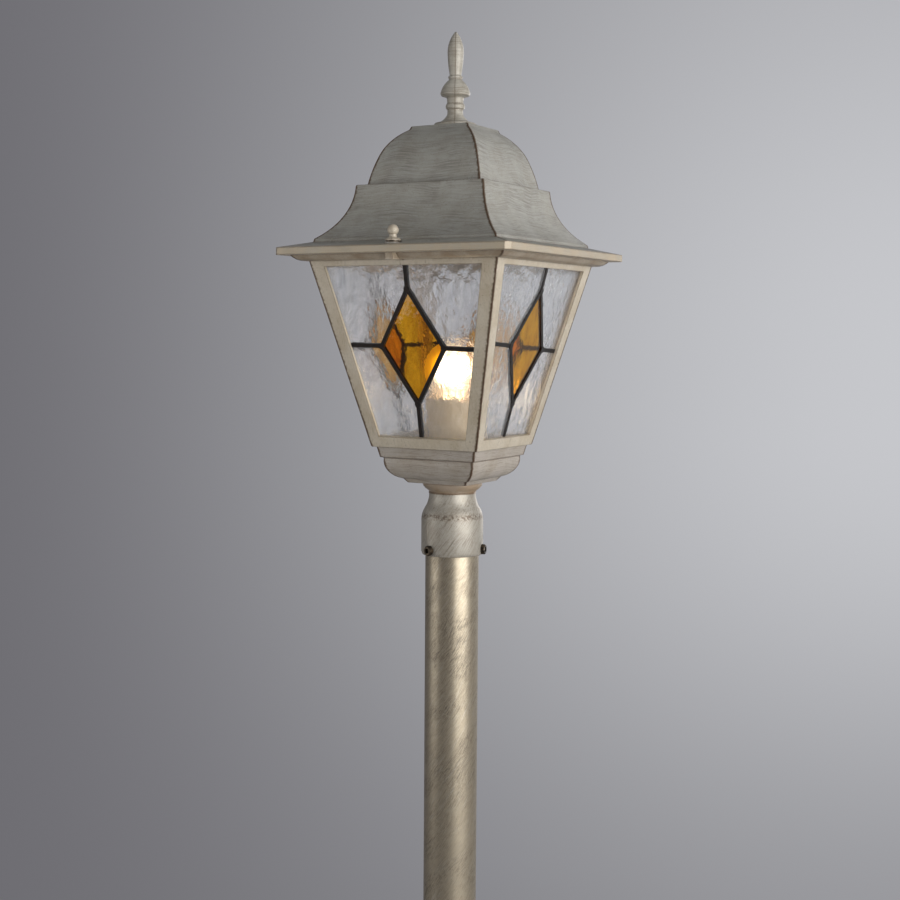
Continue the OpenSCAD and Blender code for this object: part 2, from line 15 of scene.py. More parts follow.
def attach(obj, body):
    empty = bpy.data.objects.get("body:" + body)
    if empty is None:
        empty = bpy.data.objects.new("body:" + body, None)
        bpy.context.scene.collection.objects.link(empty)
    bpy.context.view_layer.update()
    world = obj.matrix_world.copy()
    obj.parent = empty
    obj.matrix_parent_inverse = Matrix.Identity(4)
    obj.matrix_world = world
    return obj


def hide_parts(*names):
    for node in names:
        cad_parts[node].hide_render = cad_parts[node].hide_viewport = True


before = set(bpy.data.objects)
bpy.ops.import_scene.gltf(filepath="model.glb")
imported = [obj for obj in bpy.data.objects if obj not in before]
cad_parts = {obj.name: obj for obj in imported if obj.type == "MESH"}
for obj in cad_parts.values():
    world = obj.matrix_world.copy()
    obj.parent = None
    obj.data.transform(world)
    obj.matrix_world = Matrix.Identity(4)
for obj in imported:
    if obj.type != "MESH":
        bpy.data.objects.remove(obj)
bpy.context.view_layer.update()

log = logging.getLogger("park_light")

MM = 0.001
WELD_MM = 0.002
SAMPLES = 6
FLOAT, VECTOR = "NodeSocketFloat", "NodeSocketVector"
Colour = tuple[float, float, float]
Node = bpy.types.Node
Socket = bpy.types.NodeSocket
Tree = bpy.types.NodeTree
Material = bpy.types.Material
Thing = bpy.types.Object


class Strokes(Enum):
    """How the painter's brush strokes run over a casting."""

    LEVEL = "level"
    UPRIGHT = "upright"
    HELICAL = "helical"


class Grain(NamedTuple):
    """A noise texture: its scale in cycles for each millimetre, its detail and its roughness."""

    scale: float
    detail: float = 2.0
    rough: float = 0.5


class Step(NamedTuple):
    """Where a smooth step from 0 to 1 starts and ends."""

    low: float
    high: float


class Zone(NamedTuple):
    """Heights in millimetres between which paint is another colour, and how much."""

    foot: float
    head: float
    tint: Colour
    share: float


class SoftBox(NamedTuple):
    """An area lamp: degrees to the camera's right, height, distance and size in metres, and watts."""

    name: str
    azimuth: float
    height: float
    distance: float
    size: tuple[float, float]
    power: float


def rgba(colour: Colour) -> tuple[float, float, float, float]:
    """A colour with full alpha."""
    return (*colour, 1.0)


def srgb(red: float, green: float, blue: float) -> Colour:
    """The linear colour of an sRGB colour given from 0 to 255."""
    parts = [c / 255 for c in (red, green, blue)]
    linear = [c / 12.92 if c <= 0.04 else ((c + 0.055) / 1.055) ** 2.4 for c in parts]
    return (linear[0], linear[1], linear[2])


def link(obj: Thing) -> None:
    """Puts an object in the scene."""
    bpy.context.scene.collection.objects.link(obj)


class Graph:
    """A shader or geometry node tree with short ways to add nodes and join them."""

    def __init__(self, tree: Tree) -> None:
        """Wraps a tree to add nodes to."""
        self.tree = tree

    def feed(self, socket: Socket, value: object) -> None:
        """Links an output to an input socket, or sets the input's own value."""
        if isinstance(value, Socket):
            self.tree.links.new(value, socket)
        else:
            socket.default_value = value

    def add(self, kind: str, inputs: dict[str | int, object] | None = None, **settings: object) -> Node:
        """Adds a node.

        Args:
            kind: the node's type name.
            inputs: values or sockets for its inputs, by name or number.
            settings: the node's own properties.

        Returns:
            The node.
        """
        node = self.tree.nodes.new(kind)
        for name, value in settings.items():
            setattr(node, name, value)
        for key, value in (inputs or {}).items():
            self.feed(node.inputs[key], value)
        return node

    def math(self, operation: str, a: object, b: object = 0.0, clamp: bool = False) -> Socket:
        """The result of a math node, kept from 0 to 1 if clamp is set."""
        return self.add("ShaderNodeMath", {0: a, 1: b}, operation=operation, use_clamp=clamp).outputs[0]

    def plus(self, a: object, b: object) -> Socket:
        """The sum of two numbers."""
        return self.math("ADD", a, b)

    def less(self, a: object, b: object) -> Socket:
        """The first number less the second."""
        return self.math("SUBTRACT", a, b)

    def times(self, a: object, b: object) -> Socket:
        """The product of two numbers."""
        return self.math("MULTIPLY", a, b)

    def either(self, a: object, b: object) -> Socket:
        """The larger of two masks."""
        return self.math("MAXIMUM", a, b)

    def inverse(self, mask: object) -> Socket:
        """A mask turned round, kept from 0 to 1."""
        return self.math("SUBTRACT", 1.0, mask, clamp=True)

    def lift(self, value: object, gain: float, start: float) -> Socket:
        """The value times gain, plus start."""
        return self.math("ADD", self.times(value, gain), start)

    def vector(self, operation: str, a: object, b: object = (0.0, 0.0, 0.0)) -> Socket:
        """The vector result of a vector math node."""
        return self.add("ShaderNodeVectorMath", {0: a, 1: b}, operation=operation).outputs["Vector"]

    def dot(self, a: object, b: object) -> Socket:
        """The dot product of two vectors."""
        return self.add("ShaderNodeVectorMath", {0: a, 1: b}, operation="DOT_PRODUCT").outputs["Value"]

    def height(self, at: object) -> Socket:
        """The third part of a vector."""
        return self.add("ShaderNodeSeparateXYZ", {0: at}).outputs[2]

    def position(self) -> Socket:
        """The place on a surface, in metres."""
        return self.add("ShaderNodeNewGeometry").outputs["Position"]

    def normal(self) -> Socket:
        """The surface's normal."""
        return self.add("ShaderNodeNewGeometry").outputs["Normal"]

    def smooth(self, value: object, low: object, high: object) -> Socket:
        """A smooth step of value, from 0 at low to 1 at high."""
        inputs = {"Value": value, "From Min": low, "From Max": high}
        return self.add("ShaderNodeMapRange", inputs, interpolation_type="SMOOTHSTEP").outputs["Result"]

    def mix(self, factor: object, a: object, b: object) -> Socket:
        """The colour from a, at factor 0, to b, at factor 1."""
        node = self.add("ShaderNodeMix", data_type="RGBA")
        sockets = [s for s in node.inputs if s.enabled]
        for socket, value in zip(sockets, (factor, a, b)):
            self.feed(socket, rgba(value) if isinstance(value, tuple) else value)
        return next(s for s in node.outputs if s.enabled)

    def noise(self, at: object, grain: Grain) -> Socket:
        """The value of a noise texture at a vector."""
        inputs = {"Vector": at, "Scale": grain.scale, "Detail": grain.detail, "Roughness": grain.rough}
        return self.add("ShaderNodeTexNoise", inputs).outputs["Fac"]

    def patches(self, at: object, grain: Grain, step: Step) -> Socket:
        """A noise texture turned into patches by a smooth step."""
        return self.smooth(self.noise(at, grain), *step)

    def relief(self, shader: Node, height: object, strength: float, depth_mm: float) -> None:
        """Gives a shader a bumpy surface."""
        inputs = {"Strength": strength, "Distance": depth_mm * MM, "Height": height}
        bump = self.add("ShaderNodeBump", inputs)
        self.feed(shader.inputs["Normal"], bump.outputs[0])

    def place(self, group: Tree, inputs: dict[str, object]) -> Socket:
        """The result of a shared group placed with its own values."""
        node = self.add("ShaderNodeGroup", node_tree=group)
        for key, value in inputs.items():
            self.feed(node.inputs[key], value)
        return node.outputs[0]


def new_group(name: str, inputs: dict[str, str], outputs: dict[str, str]) -> tuple[Graph, Node, Node]:
    """An empty shader node group.

    Args:
        name: the group's name.
        inputs: each input's name and socket type.
        outputs: each output's name and socket type.

    Returns:
        The group's graph, its input node and its output node.
    """
    tree = bpy.data.node_groups.new(name, "ShaderNodeTree")
    for label, kind in inputs.items():
        tree.interface.new_socket(name=label, in_out="INPUT", socket_type=kind)
    for label, kind in outputs.items():
        tree.interface.new_socket(name=label, in_out="OUTPUT", socket_type=kind)
    return Graph(tree), tree.nodes.new("NodeGroupInput"), tree.nodes.new("NodeGroupOutput")


def brush_strokes() -> Tree:
    """Dry brush strokes: fine bristle lines that waver and break up into dabs.

    Returns:
        A group whose Lines are the marks; Along, Across and Cover set their run and density.
    """
    waver_scale, waver_mm, thin, gain, hair_share, kept = 0.03, 9.0, 0.66, 0.3, 0.7, 0.45
    bristle, hair, dab = Grain(1.0, 5.0, 0.7), Grain(2.9, 3.0, 0.6), Grain(0.04, 3.0, 0.6)
    bristle_soft, hair_soft, dab_step = 0.17, 0.2, Step(0.36, 0.64)
    inputs = {"Vector": VECTOR, "Along": FLOAT, "Across": FLOAT, "Cover": FLOAT}
    g, gin, gout = new_group("brush_strokes", inputs, {"Lines": FLOAT})
    point, across = gin.outputs["Vector"], gin.outputs["Across"]
    waver = g.add("ShaderNodeTexNoise", {"Vector": point, "Scale": waver_scale, "Detail": 1.0})
    centred = g.vector("SUBTRACT", waver.outputs["Color"], (0.5, 0.5, 0.5))
    bent = g.vector("ADD", point, g.vector("MULTIPLY", centred, (waver_mm,) * 3))
    stretch = g.add("ShaderNodeCombineXYZ", {0: across, 1: across, 2: gin.outputs["Along"]})
    at = g.vector("MULTIPLY", bent, stretch.outputs[0])
    low = g.less(thin, g.times(gin.outputs["Cover"], gain))
    bristles = g.smooth(g.noise(at, bristle), low, g.plus(low, bristle_soft))
    hairs = g.smooth(g.noise(at, hair), low, g.plus(low, hair_soft))
    lines = g.either(bristles, g.times(hairs, hair_share))
    whole = g.lift(g.patches(point, dab, dab_step), 1 - kept, kept)
    g.feed(gout.inputs["Lines"], g.times(lines, whole))
    return g.tree


def edge_patina() -> Tree:
    """Patina that stays in corners and along edges.

    Returns:
        A group whose Mask is 1 along edges of the mesh and fades over Width.
    """
    bend, patch, patch_step = Step(0.004, 0.08), Grain(0.22, 3.0, 0.6), Step(0.2, 0.5)
    g, gin, gout = new_group("edge_patina", {"Vector": VECTOR, "Width": FLOAT}, {"Mask": FLOAT})
    bevel = g.add("ShaderNodeBevel", {"Radius": gin.outputs["Width"]}, samples=SAMPLES)
    turned = g.less(1.0, g.dot(bevel.outputs[0], g.normal()))
    uneven = g.patches(gin.outputs["Vector"], patch, patch_step)
    g.feed(gout.inputs["Mask"], g.times(g.smooth(turned, *bend), uneven))
    return g.tree


def cavity_patina() -> Tree:
    """Patina that was wiped off the faces and stays in the steps and hollows.

    Returns:
        A group whose Mask is 1 deep in a hollow of about Reach.
    """
    shade, patch, patch_step, kept = Step(0.3, 0.62), Grain(0.3, 4.0, 0.65), Step(0.25, 0.55), 0.5
    g, gin, gout = new_group("cavity_patina", {"Vector": VECTOR, "Reach": FLOAT}, {"Mask": FLOAT})
    reach = {"Distance": gin.outputs["Reach"]}
    hollow = g.add("ShaderNodeAmbientOcclusion", reach, samples=SAMPLES, only_local=True)
    deep = g.smooth(g.less(1.0, hollow.outputs["AO"]), *shade)
    uneven = g.patches(gin.outputs["Vector"], patch, patch_step)
    g.feed(gout.inputs["Mask"], g.times(deep, g.lift(uneven, 1 - kept, kept)))
    return g.tree


def inner_face() -> Tree:
    """Tells the inner faces of a casting round the axis from its outer ones, for the shade painted inside a
    casting.

    Returns:
        A group whose Mask is 1 on faces that look at the axis or upwards.
    """
    inward_step, upward_step = Step(-8.0, -2.0), Step(0.5, 0.8)
    g, gin, gout = new_group("inner_face", {"Vector": VECTOR}, {"Mask": FLOAT})
    level = g.vector("MULTIPLY", gin.outputs["Vector"], (1.0, 1.0, 0.0))
    inward = g.inverse(g.smooth(g.dot(g.normal(), level), *inward_step))
    g.feed(gout.inputs["Mask"], g.either(inward, g.smooth(g.height(g.normal()), *upward_step)))
    return g.tree


def hip_line() -> Tree:
    """The dark line on the mitred hips of a square casting.

    Returns:
        A group whose Mask is 1 where x and y are equal in size, at heights between From and To.
    """
    wander, thinnest, fade = Grain(0.5), 0.05, Step(0.7, 3.0)
    inputs = {"Vector": VECTOR, "Width": FLOAT, "From": FLOAT, "To": FLOAT}
    g, gin, gout = new_group("hip_line", inputs, {"Mask": FLOAT})
    xyz = g.add("ShaderNodeSeparateXYZ", {0: gin.outputs["Vector"]}).outputs
    off = g.less(g.math("ABSOLUTE", xyz[0]), g.math("ABSOLUTE", xyz[1]))
    width = g.times(g.noise(gin.outputs["Vector"], wander), gin.outputs["Width"])
    near = g.math("DIVIDE", g.math("ABSOLUTE", off), g.either(width, thinnest))
    above = g.math("GREATER_THAN", xyz[2], gin.outputs["From"])
    below = g.math("LESS_THAN", xyz[2], gin.outputs["To"])
    g.feed(gout.inputs["Mask"], g.times(g.inverse(g.smooth(near, *fade)), g.times(above, below)))
    return g.tree


def helix() -> Tree:
    """Coordinates that turn about the post's axis as they rise, so that strokes run as helices.

    Returns:
        A group whose Vector is the input turned by Turn radians for each millimetre of height.
    """
    g, gin, gout = new_group("helix", {"Vector": VECTOR, "Turn": FLOAT}, {"Vector": VECTOR})
    point = gin.outputs["Vector"]
    angle = g.times(g.height(point), gin.outputs["Turn"])
    turned = g.add("ShaderNodeVectorRotate", {"Vector": point, "Angle": angle}, rotation_type="Z_AXIS")
    g.feed(gout.inputs["Vector"], turned.outputs[0])
    return g.tree


def rolled_glass() -> Tree:
    """The fine pebbled skin of rolled glass, on top of the waves in its mesh.

    Returns:
        A group whose Height is about 0 to 1, with Grain setting the share of fine dimples.
    """
    stretch, wave, cell, dimple = (1.0, 1.0, 0.7), Grain(0.2), 0.42, Grain(0.75)
    g, gin, gout = new_group("rolled_glass", {"Vector": VECTOR, "Grain": FLOAT}, {"Height": FLOAT})
    drawn = g.vector("MULTIPLY", gin.outputs["Vector"], stretch)
    cells = g.add("ShaderNodeTexVoronoi", {"Vector": drawn, "Scale": cell}, feature="SMOOTH_F1")
    dimples = g.plus(cells.outputs["Distance"], g.noise(gin.outputs["Vector"], dimple))
    grain = g.times(dimples, gin.outputs["Grain"])
    g.feed(gout.inputs["Height"], g.plus(g.noise(drawn, wave), grain))
    return g.tree


class Effects:
    """The shared shader groups, each built once."""

    def __init__(self) -> None:
        """Builds every group."""
        self.brush = brush_strokes()
        self.edge = edge_patina()
        self.hip = hip_line()
        self.helix = helix()
        self.cavity = cavity_patina()
        self.inside = inner_face()
        self.pebble = rolled_glass()


def new_material(name: str) -> tuple[Material, Graph, Node, Node]:
    """A new material, its graph, its Principled shader and its output node."""
    material = bpy.data.materials.new(name)
    material.use_nodes = True
    nodes = material.node_tree.nodes
    return material, Graph(material.node_tree), nodes["Principled BSDF"], nodes["Material Output"]


def millimetres(g: Graph) -> Socket:
    """The object's own coordinates in millimetres."""
    place = g.add("ShaderNodeTexCoord").outputs["Object"]
    return g.add("ShaderNodeVectorMath", {0: place, "Scale": 1 / MM}, operation="SCALE").outputs["Vector"]


RUNS = {Strokes.LEVEL: (1.5, 0.04), Strokes.UPRIGHT: (0.03, 1.1), Strokes.HELICAL: (0.06, 0.7)}


@dataclass(frozen=True)
class PatinaPaint:
    """Off-white paint on a casting, brushed over with brown and gold.

    Attributes:
        strokes: the way the brush ran.
        base: the paint.
        worn: the paint where it is greyer.
        stroke: the colour of the brush marks.
        edge: the colour along hips, edges and steps.
        marks: how strongly the brush marks show, from 0 to 1.
        cover: how much of the surface they cover, from 0 to 1.
        hips: the heights in millimetres between which a line runs along the mitred corners, if it does.
        inner: the colour of the painted shade on the inner and upward faces, where the bulb's light is
            blocked, if there is one.
        seam: degrees from the front to the parting line of a turned casting, if it shows.
        band: the height in millimetres of a ring of brown dabs, if there is one.
        turn: radians for each millimetre, for helical strokes.
        metal: how metallic the paint is, from 0 to 1.
        zones: where the paint is another colour.
        shares: how strongly patina shows on edges, in hollows, along a seam and in a band.
        mottle: the worn patches, where they start and end, and how much of them shows.
        speckle: the brown specks, likewise.
        rough: the roughness of the paint, and what a brush mark adds.
        relief: strength of the relief, and its depth in millimetres.
    """

    name: str
    strokes: Strokes = Strokes.LEVEL
    base: Colour = srgb(201, 190, 171)
    worn: Colour = srgb(180, 164, 138)
    stroke: Colour = srgb(104, 92, 78)
    edge: Colour = srgb(84, 62, 40)
    marks: float = 0.55
    cover: float = 0.5
    hips: tuple[float, float] | None = None
    inner: Colour | None = None
    seam: float | None = None
    band: float | None = None
    turn: float = -0.03
    metal: float = 0.12
    zones: tuple[Zone, ...] = ()
    edge_mm: float = 1.1
    reach_mm: float = 5.0
    hip_mm: float = 1.5
    shares: tuple[float, float, float, float] = (0.7, 0.85, 0.5, 0.75)
    seam_step: Step = Step(0.15, 0.7)
    band_step: Step = Step(1.0, 3.2)
    dab: tuple[Grain, Step] = (Grain(0.5, 3.0, 0.7), Step(0.42, 0.6))
    mottle: tuple[Grain, Step, float] = (Grain(0.06, 4.0, 0.6), Step(0.35, 0.7), 0.6)
    speckle: tuple[Grain, Step, float] = (Grain(0.9, 4.0, 0.75), Step(0.56, 0.7), 0.5)
    zone_fade: float = 0.3
    zone_mottle: float = 0.3
    rough: tuple[float, float] = (0.42, 0.12)
    mark_depth: float = -0.6
    grit: Grain = Grain(0.9, 3.0, 0.6)
    relief: tuple[float, float] = (0.4, 0.1)

    def patina(self, g: Graph, fx: Effects, mm: Socket) -> Socket:
        """The mask of everything that holds brown patina."""
        on_edge, in_hollow, on_seam, in_band = self.shares
        edge = g.place(fx.edge, {"Vector": mm, "Width": self.edge_mm * MM})
        cavity = g.place(fx.cavity, {"Vector": mm, "Reach": self.reach_mm * MM})
        mask = g.either(g.times(edge, on_edge), g.times(cavity, in_hollow))
        if self.hips:
            low, high = self.hips
            hip = g.place(fx.hip, {"Vector": mm, "Width": self.hip_mm, "From": low, "To": high})
            mask = g.either(mask, hip)
        if self.seam is not None:
            a = math.radians(self.seam)
            off = g.dot(mm, (math.cos(a), math.sin(a), 0.0))
            line = g.inverse(g.smooth(g.math("ABSOLUTE", off), *self.seam_step))
            mask = g.either(mask, g.times(line, on_seam))
        if self.band is not None:
            off = g.math("ABSOLUTE", g.less(g.height(mm), self.band))
            ring = g.inverse(g.smooth(off, *self.band_step))
            mask = g.either(mask, g.times(g.times(ring, g.patches(mm, *self.dab)), in_band))
        return mask

    def lines(self, g: Graph, fx: Effects, mm: Socket) -> Socket:
        """The mask of the brush marks, along the way the brush ran."""
        along, across = RUNS[self.strokes]
        run = mm
        if self.strokes is Strokes.HELICAL:
            run = g.place(fx.helix, {"Vector": mm, "Turn": self.turn})
        values = {"Vector": run, "Along": along, "Across": across, "Cover": self.cover}
        return g.place(fx.brush, values)

    def build(self, fx: Effects) -> Material:
        """Makes the material.

        Args:
            fx: the shared groups.

        Returns:
            The material.
        """
        material, g, shader, _ = new_material(self.name)
        mm = millimetres(g)
        lines = self.lines(g, fx, mm)
        mottle = g.patches(mm, *self.mottle[:2])
        speckle = g.patches(mm, *self.speckle[:2])
        colour = g.mix(g.times(mottle, self.mottle[2]), self.base, self.worn)
        colour = g.mix(g.times(lines, self.marks), colour, self.stroke)
        colour = g.mix(g.times(speckle, self.speckle[2]), colour, self.edge)
        for zone in self.zones:
            above = g.smooth(g.height(mm), zone.foot - self.zone_fade, zone.foot + self.zone_fade)
            below = g.smooth(g.height(mm), zone.head - self.zone_fade, zone.head + self.zone_fade)
            share = g.lift(mottle, self.zone_mottle, zone.share)
            colour = g.mix(g.times(g.less(above, below), share), colour, zone.tint)
        colour = g.mix(self.patina(g, fx, mm), colour, self.edge)
        # painted shade: the inner and upward faces take a dark colour in place of the shade inside the
        # lantern
        if self.inner:
            colour = g.mix(g.place(fx.inside, {"Vector": mm}), colour, self.inner)
        g.feed(shader.inputs["Base Color"], colour)
        g.feed(shader.inputs["Roughness"], g.lift(lines, self.rough[1], self.rough[0]))
        shader.inputs["Metallic"].default_value = self.metal
        height = g.plus(g.times(lines, self.mark_depth), g.noise(mm, self.grit))
        g.relief(shader, height, *self.relief)
        return material


@dataclass(frozen=True)
class GoldPaint:
    """Champagne-gold metallic paint on the post, dry-brushed with grey and brown.

    Attributes:
        brush, wisp: Along, Across and Cover of the marks and of the pale wisps.
        apart: where the wisps are taken from, so that they don't repeat the marks.
        shares: how strongly wisps and marks show.
        metal: how metallic the paint is, and what a mark adds.
        rough: its roughness, and what a mark adds.
    """

    name: str = "champagne_post"
    gold: Colour = srgb(184, 171, 148)
    pale: Colour = srgb(200, 192, 176)
    stroke: Colour = srgb(78, 69, 60)
    turn: float = -0.03
    brush: tuple[float, float, float] = (0.16, 1.5, 0.75)
    wisp: tuple[float, float, float] = (0.04, 0.5, 0.5)
    apart: tuple[float, float, float] = (61.0, 17.0, 43.0)
    shares: tuple[float, float] = (0.7, 0.75)
    metal: tuple[float, float] = (0.88, -0.3)
    rough: tuple[float, float] = (0.34, 0.14)
    mark_depth: float = -0.5
    grit: Grain = Grain(1.2, 3.0, 0.6)
    relief: tuple[float, float] = (0.3, 0.08)

    def build(self, fx: Effects) -> Material:
        """Makes the material."""
        material, g, shader, _ = new_material(self.name)
        mm = millimetres(g)
        run = g.place(fx.helix, {"Vector": mm, "Turn": self.turn})
        other = g.vector("ADD", run, self.apart)
        names = ("Along", "Across", "Cover")
        lines = g.place(fx.brush, {"Vector": run, **dict(zip(names, self.brush))})
        wisps = g.place(fx.brush, {"Vector": other, **dict(zip(names, self.wisp))})
        colour = g.mix(g.times(wisps, self.shares[0]), self.gold, self.pale)
        colour = g.mix(g.times(lines, self.shares[1]), colour, self.stroke)
        g.feed(shader.inputs["Base Color"], colour)
        g.feed(shader.inputs["Metallic"], g.lift(lines, self.metal[1], self.metal[0]))
        g.feed(shader.inputs["Roughness"], g.lift(lines, self.rough[1], self.rough[0]))
        height = g.plus(g.times(lines, self.mark_depth), g.noise(mm, self.grit))
        g.relief(shader, height, *self.relief)
        return material


@dataclass(frozen=True)
class PlainMetal:
    """A bare, plated or blackened metal with fine scratches and tarnish in blotches and on edges."""

    name: str
    colour: Colour
    tarnish: Colour
    metallic: float = 1.0
    rough: float = 0.35
    bump_mm: float = 0.04
    grain: float = 1.2
    blotch: tuple[Grain, Step] = (Grain(0.35, 4.0, 0.65), Step(0.38, 0.68))
    edge_mm: float = 0.5
    edge_share: float = 0.35
    blotch_rough: float = 0.15
    bump: float = 0.5

    def build(self, fx: Effects) -> Material:
        """Makes the material."""
        material, g, shader, _ = new_material(self.name)
        mm = millimetres(g)
        blotch = g.patches(mm, *self.blotch)
        edge = g.place(fx.edge, {"Vector": mm, "Width": self.edge_mm * MM})
        colour = g.mix(blotch, self.colour, self.tarnish)
        g.feed(shader.inputs["Base Color"], g.mix(g.times(edge, self.edge_share), colour, self.tarnish))
        shader.inputs["Metallic"].default_value = self.metallic
        g.feed(shader.inputs["Roughness"], g.lift(blotch, self.blotch_rough, self.rough))
        g.relief(shader, g.noise(mm, Grain(self.grain, 3.0, 0.6)), self.bump, self.bump_mm)
        return material


@dataclass(frozen=True)
class Porcelain:
    """Cream glazed porcelain."""

    name: str = "cream_porcelain"
    glaze: Colour = srgb(236, 214, 178)
    shade: Colour = srgb(216, 190, 150)
    cloud: tuple[Grain, Step] = (Grain(0.09, 3.0, 0.5), Step(0.35, 0.65))
    rough: tuple[float, float] = (0.22, 0.08)
    coat: float = 0.5
    wave: Grain = Grain(0.4)
    relief: tuple[float, float] = (0.2, 0.05)

    def build(self, fx: Effects) -> Material:
        """Makes the material."""
        material, g, shader, _ = new_material(self.name)
        mm = millimetres(g)
        cloud = g.patches(mm, *self.cloud)
        g.feed(shader.inputs["Base Color"], g.mix(cloud, self.glaze, self.shade))
        g.feed(shader.inputs["Roughness"], g.lift(cloud, self.rough[1], self.rough[0]))
        shader.inputs["Coat Weight"].default_value = self.coat
        g.relief(shader, g.noise(mm, self.wave), *self.relief)
        return material


@dataclass(frozen=True)
class LitBulb:
    """A frosted bulb, lit: its globe glows, brightest at its middle, and its neck and cap stay dim.

    Attributes:
        centre_z: height of the globe's middle, in millimetres.
        glow: distances from it over which the glow fades, in millimetres.
        focus: how closely the glow keeps to the middle.
        rough: its roughness, and what the frosting adds.
    """

    name: str = "lit_bulb"
    glass: Colour = srgb(255, 240, 212)
    rim: Colour = (0.02, 0.014, 0.008)
    hot: Colour = (1.0, 0.75, 0.43)
    centre_z: float = 941.5
    glow: Step = Step(7.2, 26.4)
    focus: float = 8.0
    strength: float = 16.0
    frost: Grain = Grain(1.5, 3.0, 0.6)
    rough: tuple[float, float] = (0.3, 0.2)

    def build(self, fx: Effects) -> Material:
        """Makes the material."""
        material, g, shader, _ = new_material(self.name)
        mm = millimetres(g)
        off = g.math("ABSOLUTE", g.less(g.height(mm), self.centre_z))
        globe = g.inverse(g.smooth(off, *self.glow))
        facing = g.less(1.0, g.add("ShaderNodeLayerWeight").outputs["Facing"])
        core = g.times(globe, g.math("POWER", facing, self.focus))
        g.feed(shader.inputs["Emission Color"], g.mix(core, self.rim, self.hot))
        shader.inputs["Emission Strength"].default_value = self.strength
        shader.inputs["Base Color"].default_value = rgba(self.glass)
        g.feed(shader.inputs["Roughness"], g.lift(g.noise(mm, self.frost), self.rough[1], self.rough[0]))
        return material


@dataclass(frozen=True)
class StainedGlass:
    """Rolled glass in clear or colour, which lets the lamps' light through.

    Attributes:
        streaks: how much of the glass is streaked.
        rough: the roughness of its faces.
        clear: how clear it is; the rest of it is a milky haze.
        bump_mm: the depth of the ripples left to shading.
        grain: the share of fine dimples.
        flow: the streaks, and where they start and end.
    """

    name: str
    tint: Colour
    streak: Colour
    streaks: float = 0.5
    rough: float = 0.05
    clear: float = 0.94
    bump_mm: float = 0.3
    grain: float = 0.5
    drawn: tuple[float, float, float] = (1.0, 1.0, 0.22)
    flow: tuple[Grain, Step] = (Grain(0.17, 3.0, 0.55), Step(0.42, 0.66))
    ior: float = 1.5

    def build(self, fx: Effects) -> Material:
        """Makes the material.

        Args:
            fx: the shared groups.

        Returns:
            The material.
        """
        material, g, shader, output = new_material(self.name)
        mm = millimetres(g)
        streak = g.patches(g.vector("MULTIPLY", mm, self.drawn), *self.flow)
        g.feed(shader.inputs["Base Color"], g.mix(g.times(streak, self.streaks), self.tint, self.streak))
        shader.inputs["Roughness"].default_value = self.rough
        shader.inputs["IOR"].default_value = self.ior
        shader.inputs["Transmission Weight"].default_value = self.clear
        skin = g.place(fx.pebble, {"Vector": mm, "Grain": self.grain})
        g.relief(shader, skin, 1.0, self.bump_mm)
        through = g.add("ShaderNodeBsdfTransparent", {"Color": rgba(self.tint)}).outputs[0]
        shadow = g.add("ShaderNodeLightPath").outputs["Is Shadow Ray"]
        both = g.add("ShaderNodeMixShader", {0: shadow, 1: shader.outputs[0], 2: through})
        g.feed(output.inputs["Surface"], both.outputs[0])
        return material


def soften_group(smooth_deg: float = 32.0) -> Tree:
    """A geometry group that joins split corners and smooths bends up to an angle in degrees."""
    tree = bpy.data.node_groups.new("cast_shading", "GeometryNodeTree")
    tree.interface.new_socket(name="Geometry", in_out="INPUT", socket_type="NodeSocketGeometry")
    angle = tree.interface.new_socket(name="Angle", in_out="INPUT", socket_type=FLOAT)
    angle.default_value = math.radians(smooth_deg)
    tree.interface.new_socket(name="Geometry", in_out="OUTPUT", socket_type="NodeSocketGeometry")
    g = Graph(tree)
    gin, gout = tree.nodes.new("NodeGroupInput").outputs, tree.nodes.new("NodeGroupOutput").inputs
    joined = g.add("GeometryNodeMergeByDistance", {"Geometry": gin["Geometry"], "Distance": WELD_MM * MM})
    bend = g.add("GeometryNodeInputMeshEdgeAngle").outputs[0]
    sharp = g.add("FunctionNodeCompare", {0: bend, 1: gin["Angle"]}, operation="GREATER_THAN")
    normals = g.add("GeometryNodeSetMeshNormal", {"Mesh": joined.outputs[0]}, mode="SHARPNESS")
    normals.inputs["Face Sharpness"].default_value = False
    g.feed(normals.inputs["Edge Sharpness"], sharp.outputs[0])
    g.feed(gout[0], normals.outputs[0])
    return tree


class Workshop:
    """What the sub-assemblies share: effects, finishes and the way a node is dressed."""

    bevel_segments = 2
    bevel_deg = 38.0

    def __init__(self) -> None:
        """Builds the shared groups and materials."""
        self.fx = Effects()
        self.soften = soften_group()
        self.turned = PatinaPaint("brushed_turned").build(self.fx)
        bronze = PlainMetal("dark_bronze", (0.10, 0.075, 0.05), (0.035, 0.03, 0.024), 0.9, 0.32)
        zinc = PlainMetal("zinc_plate", (0.55, 0.55, 0.53), (0.34, 0.33, 0.3), rough=0.32)
        brass = PlainMetal("bare_brass", (0.62, 0.44, 0.18), (0.36, 0.24, 0.1), rough=0.28)
        self.bronze, self.zinc, self.brass = (metal.build(self.fx) for metal in (bronze, zinc, brass))

    def shade(self, obj: Thing) -> None:
        """Gives an object smooth shading with its sharp edges kept."""
        obj.modifiers.new("shading", "NODES").node_group = self.soften

    def dress(self, names: Sequence[str], material: Material, edge_mm: float = 0.0) -> None:
        """Dresses CAD nodes.

        Args:
            names: the nodes.
            material: their material.
            edge_mm: the radius of their edges, or 0 to leave them sharp.
        """
        for name in names:
            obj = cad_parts[name]
            obj.data.materials.clear()
            obj.data.materials.append(material)
            self.shade(obj)
            if edge_mm:
                bevel = obj.modifiers.new("edges", "BEVEL")
                bevel.width = edge_mm * MM
                bevel.segments = self.bevel_segments
                bevel.limit_method = "ANGLE"
                bevel.angle_limit = math.radians(self.bevel_deg)
                bevel.harden_normals = True
            log.info("dressed %s with %s", name, material.name)


